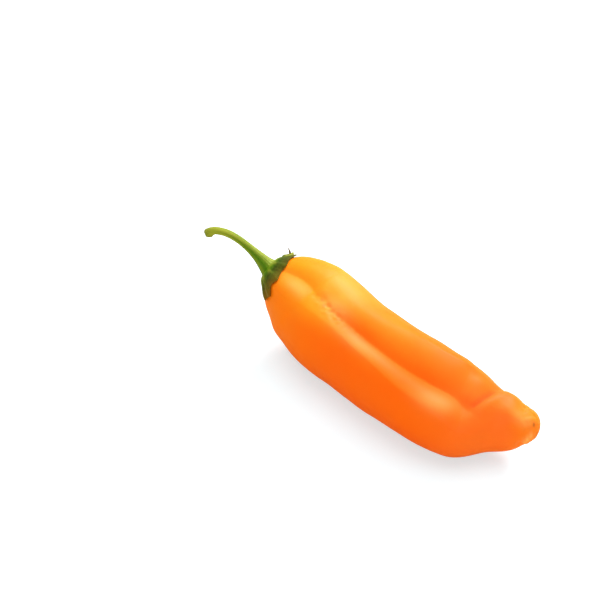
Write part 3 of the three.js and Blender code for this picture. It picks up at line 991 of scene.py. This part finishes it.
    def build(self) -> Piece:
        """Makes the skin of stalk and calyx with its masks.

        Returns:
            The object.
        """
        angle = np.arange(self.sides) * 360 / self.sides
        calyx, share = self.calyx(angle)
        walk = self.walk()
        stem, wave = self.stem(walk, angle)
        rings = np.concatenate([calyx, stem, self.cut_face(walk, stem[-1])])
        under_pole = self.on_dome(self.dome_direction(self.tilt, self.turn)[None], np.array([self.gap]))[0]
        end_pole = walk.middle[-1] - self.face_depth * walk.direction[-1]
        piece = ring_body(self.name, under_pole, rings, end_pole)
        carry(piece, self.masks(walk, angle, share, wave))
        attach(piece, "root")
        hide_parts("stalk_with_calyx")
        return piece


@dataclass
class Curl:
    """The thin dried point of one calyx tooth, which curls up from the rim behind the stalk."""

    stalk: Stalk
    name: str = "calyx_curl"
    angle: float = 155.0
    share: float = 0.8
    path: tuple[Triple, ...] = (
        (0.4, 0.1, -1.2), (0, 0, 0), (-0.2, 0, 1.1), (-0.5, -0.1, 2.0), (-1.0, -0.2, 2.8), (-1.5, -0.3, 3.3),
    )
    radius: float = 1.0
    taper: float = 0.7
    taper_power: float = 1.6
    flatness: float = 0.45
    flat_side: Triple = (0.3, 1.0, 0.2)
    tip_round: float = 0.1
    rows: int = 20
    sides: int = 16
    looks: tuple[tuple[Mask, float], ...] = (
        (Mask.CALYX, 1.0), (Mask.RIB, 0.2), (Mask.EDGE, 1.0), (Mask.CUT, 0.0), (Mask.HIGHLIGHT_AND_PALE, 0.0),
    )

    def build(self) -> Piece:
        """Makes the point as a thin tapering body whose root stands in the calyx.

        Returns:
            The object.
        """
        calyx, share = self.stalk.calyx(np.array([self.angle]))
        top = np.arange(len(share)) > np.flatnonzero(share[:, 0] >= 1)[-1]
        root = calyx[top][np.argmin(np.abs(share[top, 0] - self.share)), 0]
        path = Path(root + np.array(self.path))
        walk = np.linspace(0, 1, self.rows)
        along = path.direction(walk)
        side = unit(np.cross(along, self.flat_side))
        turn = np.radians(np.arange(self.sides) * 360 / self.sides)
        radius = (self.radius * (1 - self.taper * walk**self.taper_power))[:, None, None]
        ring = np.cos(turn)[None, :, None] * side[:, None]
        ring = ring + self.flatness * np.sin(turn)[None, :, None] * np.cross(along, side)[:, None]
        rings = path.at(walk)[:, None] + radius * ring
        tip = rings[-1].mean(0) + self.tip_round * along[-1]
        piece = ring_body(self.name, rings[0].mean(0), rings, tip)
        shape = rings.shape[:2]
        carry(piece, {mask: (value, np.full(shape, value), value) for mask, value in self.looks})
        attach(piece, "root")
        return piece


@dataclass(frozen=True)
class Nodes:
    """Places and links nodes in one tree."""

    tree: bpy.types.NodeTree

    def add(self, kind: str, inputs: dict | None = None, **settings: object) -> bpy.types.Node:
        """Places a node.

        Args:
            kind: the node's type name.
            inputs: values or sockets by input name or number.
            settings: attributes of the node.

        Returns:
            The node.
        """
        node = self.tree.nodes.new(kind)
        for key, value in settings.items():
            setattr(node, key, value)
        for key, value in (inputs or {}).items():
            if isinstance(value, Socket):
                self.tree.links.new(value, node.inputs[key])
            else:
                node.inputs[key].default_value = value
        return node

    def mask(self, mask: Mask) -> Socket:
        """Reads one of the piece's masks."""
        return self.add("ShaderNodeAttribute", attribute_name=mask.value).outputs["Fac"]

    def math(self, operation: str, a: float | Socket, b: float | Socket = 0.0) -> Socket:
        """Combines two numbers."""
        return self.add("ShaderNodeMath", {0: a, 1: b}, operation=operation).outputs[0]

    def ease(self, value: Socket, low: float, high: float) -> Socket:
        """Maps low to high onto 0 to 1 with soft ends."""
        node = self.add(
            "ShaderNodeMapRange",
            {"Value": value, "From Min": low, "From Max": high},
            interpolation_type="SMOOTHSTEP",
        )
        return node.outputs["Result"]

    def mix(self, share: float | Socket, a: tuple | Socket, b: tuple | Socket) -> Socket:
        """Mixes two colours."""
        node = self.add("ShaderNodeMix", {0: share, 6: a, 7: b}, data_type="RGBA")
        return node.outputs[2]

    def tint(self, under: tuple | Socket, over: Colour, mask: Socket, amount: float = 1.0) -> Socket:
        """Lays a screen colour over another by a mask times an amount."""
        share = mask if amount == 1.0 else self.math("MULTIPLY", mask, amount)
        return self.mix(share, under, linear(over))

    def noise(self, vector: Socket, scale: float | Socket, detail: float = 2.0) -> Socket:
        """Reads noise around 0.5 at a scale in turns per metre."""
        inputs = {"Vector": vector, "Scale": scale, "Detail": detail}
        return self.add("ShaderNodeTexNoise", inputs).outputs["Fac"]

    def grain(self, group: Tree, place: Socket, cells: float, dents: float) -> bpy.types.Node:
        """Places the shared grain at its two scales in turns per metre."""
        inputs = {"Vector": place, "Cell Scale": cells, "Dent Scale": dents}
        return self.add("ShaderNodeGroup", inputs, node_tree=group)


def blank_material(name: str) -> tuple[Material, Nodes]:
    """Makes a material whose node tree is empty.

    Args:
        name: the material's name.

    Returns:
        The material, and its nodes.
    """
    material = bpy.data.materials.new(name)
    material.use_nodes = True
    material.node_tree.nodes.clear()
    return material, Nodes(material.node_tree)


def plant_grain() -> Tree:
    """Builds the shared group for living skin: fine cells, soft dents and scattered pale flecks.

    Returns:
        A group with Vector, Cell Scale and Dent Scale in, and Height and Flecks out.
    """
    group = bpy.data.node_groups.new("plant_grain", "ShaderNodeTree")
    for name, kind in (("Vector", "NodeSocketVector"), ("Cell Scale", "NodeSocketFloat"),
                       ("Dent Scale", "NodeSocketFloat")):
        group.interface.new_socket(name, in_out="INPUT", socket_type=kind)
    for name in ("Height", "Flecks"):
        group.interface.new_socket(name, in_out="OUTPUT", socket_type="NodeSocketFloat")
    cell_height = 0.25
    fleck_edge = (0.86, 0.97)
    nodes = Nodes(group)
    given = nodes.add("NodeGroupInput").outputs
    cells = nodes.add("ShaderNodeTexVoronoi", {"Vector": given["Vector"], "Scale": given["Cell Scale"]})
    dents = nodes.noise(given["Vector"], given["Dent Scale"], 3.0)
    height = nodes.math("ADD", nodes.math("MULTIPLY", cells.outputs["Distance"], cell_height), dents)
    spots = nodes.add("ShaderNodeTexVoronoi", {"Vector": given["Vector"], "Scale": given["Dent Scale"]})
    flecks = nodes.ease(nodes.math("SUBTRACT", 1.0, spots.outputs["Distance"]), *fleck_edge)
    nodes.add("NodeGroupOutput", {"Height": height, "Flecks": flecks})
    return group


@dataclass(frozen=True)
class PodFinish:
    """Smooth waxy orange skin, yellower at both ends, with light and shade painted into it: a yellower crown
    as painted light from above, painted highlights on the ridges and the tip, and redder painted shade low
    down and in the furrow.
    """

    grain: Tree
    body: Colour = (252, 102, 8)
    # Painted light: the yellow laid on the pod's top.
    crown: Colour = (254, 148, 24)
    # Painted shade: the redder orange laid on the lower side.
    flank_shade: Colour = (251, 92, 6)
    ends: Colour = (252, 132, 14)
    tip: Colour = (251, 116, 48)
    # Painted shade: the furrow's redder orange, and a darker red line along the bottom of the furrow and the
    # fold.
    furrow: Colour = (251, 94, 6)
    line: Colour = (236, 72, 5)
    # The real scar and marks, and painted shade in the furrow's wrinkles.
    scar: Colour = (176, 80, 26)
    # The pale colour of the painted highlights.
    pale: Colour = (255, 186, 110)
    fleck: Colour = (255, 190, 90)
    crown_ease: Pair = (0.1, 1.0)
    flank_ease: Pair = (0.0, 1.1)
    furrow_amount: float = 0.75
    line_amount: float = 0.8
    line_ease: Pair = (0.75, 1.0)
    tip_amount: float = 0.6
    ends_amount: float = 0.7
    fleck_amount: float = 0.06
    cloud_scale: float = 28.0
    cloud_drift: float = 0.7
    cell_scale: float = 2600.0
    dent_scale: float = 420.0
    grain_strength: float = 0.25
    grain_height: float = 0.00012
    furrow_matt: float = 0.3
    matt_ease: Pair = (0.2, 0.75)
    roughness: float = 0.44
    rough_drift: float = 0.1
    shine: float = 0.09
    shine_tint: Triple = (1.0, 0.92, 0.8)
    under_skin: float = 0.1
    under_skin_colour: Triple = (1.0, 0.35, 0.08)
    under_skin_scale: float = 0.003

    def build(self) -> Material:
        """Makes the material.

        Returns:
            The pod's material.
        """
        material, nodes = blank_material("pod_skin")
        place = nodes.add("ShaderNodeTexCoord").outputs["Object"]
        cloud = nodes.noise(place, self.cloud_scale, 3.0)
        grain = nodes.grain(self.grain, place, self.cell_scale, self.dent_scale)

        drift = nodes.math("MULTIPLY", nodes.math("SUBTRACT", cloud, 0.5), self.cloud_drift)
        crown = nodes.ease(nodes.math("ADD", nodes.mask(Mask.CROWN_LIGHT), drift), *self.crown_ease)
        flank_shade = nodes.ease(nodes.math("ADD", nodes.mask(Mask.FLANK_SHADE), drift), *self.flank_ease)
        deep = nodes.mask(Mask.FURROW_SHADE)
        # Painted light: the crown mask lays yellow on the top.
        colour = nodes.tint(linear(self.body), self.crown, crown)
        # Painted shade: the flank mask lays redder orange on the lower side.
        colour = nodes.tint(colour, self.flank_shade, flank_shade)
        # Painted shade in the furrow, and a darker line along its bottom and the fold's crease.
        colour = nodes.tint(colour, self.furrow, deep, self.furrow_amount)
        colour = nodes.tint(colour, self.line, nodes.ease(deep, *self.line_ease), self.line_amount)
        # The tip's own paler colour, with painted light from the floor on its lower side.
        colour = nodes.tint(colour, self.tip, nodes.mask(Mask.TIP), self.tip_amount)
        colour = nodes.tint(colour, self.ends, nodes.mask(Mask.ENDS), self.ends_amount)
        colour = nodes.tint(colour, self.fleck, grain.outputs["Flecks"], self.fleck_amount)
        # The scar's brown: the real scar and marks, and painted shade in the furrow's wrinkles.
        colour = nodes.tint(colour, self.scar, nodes.mask(Mask.SCAR_AND_CREASE_SHADE))
        # Painted highlights, and painted light from the floor.
        colour = nodes.tint(colour, self.pale, nodes.mask(Mask.HIGHLIGHT_AND_PALE))

        rough = nodes.math("MULTIPLY", cloud, self.rough_drift)
        rough = nodes.math("ADD", self.roughness - self.rough_drift / 2, rough)
        matt = nodes.math("MULTIPLY", nodes.ease(deep, *self.matt_ease), self.furrow_matt)
        rough = nodes.math("ADD", rough, matt)
        bump = nodes.add("ShaderNodeBump", {
            "Strength": self.grain_strength, "Distance": self.grain_height, "Height": grain.outputs["Height"],
        })
        shader = nodes.add("ShaderNodeBsdfPrincipled", {
            "Base Color": colour, "Roughness": rough, "Normal": bump.outputs["Normal"],
            "Specular IOR Level": self.shine, "Specular Tint": (*self.shine_tint, 1.0),
            "Subsurface Weight": self.under_skin, "Subsurface Radius": self.under_skin_colour,
            "Subsurface Scale": self.under_skin_scale,
        })
        nodes.add("ShaderNodeOutputMaterial", {"Surface": shader.outputs["BSDF"]})
        return material


@dataclass(frozen=True)
class StalkFinish:
    """Satin green stalk with light ribs, a darker leathery calyx with brown edges, and a dry cut end."""

    grain: Tree
    stem: Colour = (78, 120, 2)
    stem_rib: Colour = (152, 158, 48)
    # Pale for the painted highlight strip on the stalk and for the calyx's lifted lip.
    pale: Colour = (160, 166, 70)
    calyx: Colour = (38, 58, 6)
    calyx_rib: Colour = (74, 96, 24)
    edge: Colour = (122, 86, 10)
    cut: Colour = (98, 104, 52)
    roughness: float = 0.48
    rough_drift: float = 0.12
    shine: float = 0.1
    under_skin: float = 0.08
    under_skin_colour: Triple = (0.5, 1.0, 0.15)
    under_skin_scale: float = 0.0015
    cloud_scale: float = 260.0
    patch_scale: float = 700.0
    patch_ease: Pair = (0.4, 0.62)
    cell_scale: float = 3400.0
    dent_scale: float = 900.0
    grain_strength: float = 0.5
    grain_height: float = 0.0002
    calyx_rib_amount: float = 0.5
    blotch_amount: float = 0.25
    blotch_ease: Pair = (0.45, 0.75)
    pale_amount: float = 0.85
    edge_ease: Pair = (0.2, 0.5)

    def build(self) -> Material:
        """Makes the material.

        Returns:
            The material of stalk and calyx.
        """
        material, nodes = blank_material("stalk_green")
        place = nodes.add("ShaderNodeTexCoord").outputs["Object"]
        cloud = nodes.noise(place, self.cloud_scale, 3.0)
        patch = nodes.ease(nodes.noise(place, self.patch_scale), *self.patch_ease)
        grain = nodes.grain(self.grain, place, self.cell_scale, self.dent_scale)

        rib = nodes.mask(Mask.RIB)
        stem = nodes.tint(linear(self.stem), self.stem_rib, nodes.ease(rib, 0.0, 1.0))
        rib_or_patch = nodes.math("ADD", rib, patch)
        calyx = nodes.tint(linear(self.calyx), self.calyx_rib, rib_or_patch, self.calyx_rib_amount)
        colour = nodes.mix(nodes.mask(Mask.CALYX), stem, calyx)
        blotch = nodes.ease(cloud, *self.blotch_ease)
        colour = nodes.tint(colour, self.calyx_rib, blotch, self.blotch_amount)
        # Painted highlight on the stalk's lit side, and the paler lifted lip.
        colour = nodes.tint(colour, self.pale, nodes.mask(Mask.HIGHLIGHT_AND_PALE), self.pale_amount)
        edge = nodes.math("MULTIPLY", nodes.mask(Mask.EDGE), nodes.ease(cloud, *self.edge_ease))
        colour = nodes.tint(colour, self.edge, edge)
        colour = nodes.tint(colour, self.cut, nodes.mask(Mask.CUT))

        rough = nodes.math("MULTIPLY", cloud, self.rough_drift)
        rough = nodes.math("ADD", self.roughness - self.rough_drift / 2, rough)
        bump = nodes.add("ShaderNodeBump", {
            "Strength": self.grain_strength, "Distance": self.grain_height, "Height": grain.outputs["Height"],
        })
        shader = nodes.add("ShaderNodeBsdfPrincipled", {
            "Base Color": colour, "Roughness": rough, "Normal": bump.outputs["Normal"],
            "Specular IOR Level": self.shine,
            "Subsurface Weight": self.under_skin, "Subsurface Radius": self.under_skin_colour,
            "Subsurface Scale": self.under_skin_scale,
        })
        nodes.add("ShaderNodeOutputMaterial", {"Surface": shader.outputs["BSDF"]})
        return material


@dataclass(frozen=True)
class Lamp:
    """A square soft light: its place in metres, its side, its power in watts and its linear colour."""

    name: str
    place: Triple
    size: float
    watts: float
    colour: Triple = (1.0, 1.0, 1.0)

    def hang(self) -> None:
        """Hangs the light so that it faces the pepper."""
        data = bpy.data.lights.new(self.name, "AREA")
        data.color = self.colour
        data.shape = "SQUARE"
        data.size = self.size
        data.energy = self.watts
        light = bpy.data.objects.new(self.name, data)
        bpy.context.scene.collection.objects.link(light)
        light.location = self.place
        light.rotation_euler = Vector(self.place).to_track_quat("Z", "Y").to_euler()


@dataclass
class Studio:
    """The pale floor, the soft lights and the camera at the photograph's angle."""

    floor_reach: float = 6.0
    floor_colour: Triple = (0.66, 0.62, 0.64)
    glow_colour: Triple = (0.63, 0.947, 0.977)
    bounce_colour: Triple = (0.6, 0.6, 0.26)
    floor_glow: float = 0.16
    floor_lift: float = 0.41
    sky: float = 0.35
    lamps: tuple[Lamp, ...] = (
        Lamp("top", (0.05, 0.15, 1.65), 1.8, 17.0),
        Lamp("back", (-0.15, 1.15, 1.1), 0.9, 36.0),
        Lamp("fill", (0.8, -1.15, 0.5), 1.4, 9.0),
        Lamp("warm", (-1.1, -0.9, 0.45), 1.2, 3.0, (1.0, 0.7, 0.35)),
    )
    azimuth: float = 40.0
    elevation: float = 42.0
    lens: float = 90.0
    sensor: float = 36.0
    frame_pixels: int = 600
    near_clip: float = 0.01
    distance: float = 0.75
    aim: Triple = (0.0144, -0.0009, 0.024)
    aim_pixel: Pair = (384.0, 364.0)

    def place_camera(self) -> None:
        """Stands the camera so that the aim point shows at its pixel, with no shift and no blur.

        The camera looks along -back. Its place is aim + distance * (back - x * right + y * up), where x and
        y are the aim pixel's offsets from the frame's middle over the focal length in pixels.
        """
        a, e = math.radians(self.azimuth), math.radians(self.elevation)
        back = Vector((math.sin(a) * math.cos(e), -math.cos(a) * math.cos(e), math.sin(e)))
        right = Vector((math.cos(a), math.sin(a), 0.0))
        up = back.cross(right)
        focal = self.frame_pixels * self.lens / self.sensor
        x = (self.aim_pixel[0] - self.frame_pixels / 2) / focal
        y = (self.aim_pixel[1] - self.frame_pixels / 2) / focal
        data = bpy.data.cameras.new("camera")
        data.lens = self.lens
        data.sensor_width = self.sensor
        data.clip_start = self.near_clip
        camera = bpy.data.objects.new("camera", data)
        bpy.context.scene.collection.objects.link(camera)
        place = Vector(self.aim) + self.distance * (back - x * right + y * up)
        turn = Matrix((right, up, back)).transposed().to_4x4()
        camera.matrix_world = Matrix.Translation(place) @ turn
        bpy.context.scene.camera = camera

    def lit_ground(self, nodes: Nodes, colour: Triple, glow_colour: Triple, glow: float) -> Socket:
        """Adds a matt surface and a glow.

        Args:
            nodes: the floor's nodes.
            colour: the matt surface's linear colour.
            glow_colour: the glow's linear colour.
            glow: the glow's strength.

        Returns:
            The summed shader.
        """
        matt = nodes.add("ShaderNodeBsdfDiffuse", {"Color": (*colour, 1.0)})
        light = nodes.add("ShaderNodeEmission", {"Color": (*glow_colour, 1.0), "Strength": glow})
        return nodes.add("ShaderNodeAddShader", {0: matt.outputs[0], 1: light.outputs[0]}).outputs[0]

    def floor_material(self) -> Material:
        """Makes a matt floor that also glows, as a table lit from below does.

        What the viewer sees of it is lifted further towards white, as a cut-out's ground is, so that the
        shadow stays faint without more light on the pepper's lower side.

        Returns:
            The floor's material.
        """
        material, nodes = blank_material("floor_white")
        seen = self.lit_ground(nodes, self.floor_colour, self.glow_colour, self.floor_glow + self.floor_lift)
        felt = self.lit_ground(nodes, self.bounce_colour, self.bounce_colour, self.floor_glow)
        is_seen = nodes.add("ShaderNodeLightPath").outputs["Is Camera Ray"]
        either = nodes.add("ShaderNodeMixShader", {0: is_seen, 1: felt, 2: seen})
        nodes.add("ShaderNodeOutputMaterial", {"Surface": either.outputs[0]})
        return material

    def build(self) -> None:
        """Makes the floor, the lights and the camera."""
        bpy.context.scene.view_settings.view_transform = "Standard"
        reach = self.floor_reach
        mesh = bpy.data.meshes.new("floor")
        corners = [(-reach, -reach, 0), (reach, -reach, 0), (reach, reach, 0), (-reach, reach, 0)]
        mesh.from_pydata(corners, [], [(0, 1, 2, 3)])
        floor = bpy.data.objects.new("floor", mesh)
        bpy.context.scene.collection.objects.link(floor)
        mesh.materials.append(self.floor_material())

        world = bpy.data.worlds.new("sky")
        world.use_nodes = True
        world.node_tree.nodes["Background"].inputs["Color"].default_value = (1.0, 1.0, 1.0, 1.0)
        world.node_tree.nodes["Background"].inputs["Strength"].default_value = self.sky
        bpy.context.scene.world = world
        for lamp in self.lamps:
            lamp.hang()
        self.place_camera()


def dress(piece: Piece, material: Material) -> None:
    """Gives a piece its one material."""
    piece.data.materials.clear()
    piece.data.materials.append(material)


def main() -> None:
    """Builds the studio, the pepper's pieces and their finishes, in that order."""
    logging.basicConfig(level=logging.INFO, format="%(name)s: %(message)s")
    Studio().build()
    grain = plant_grain()
    pod = Pod()
    stalk = Stalk(pod)
    green = StalkFinish(grain).build()
    pieces = (
        (pod.build(), PodFinish(grain).build()),
        (stalk.build(), green),
        (Curl(stalk).build(), green),
    )
    for piece, material in pieces:
        dress(piece, material)
        LOG.info("%s: %d faces", piece.name, len(piece.data.polygons))


if __name__ == "__main__":
    main()
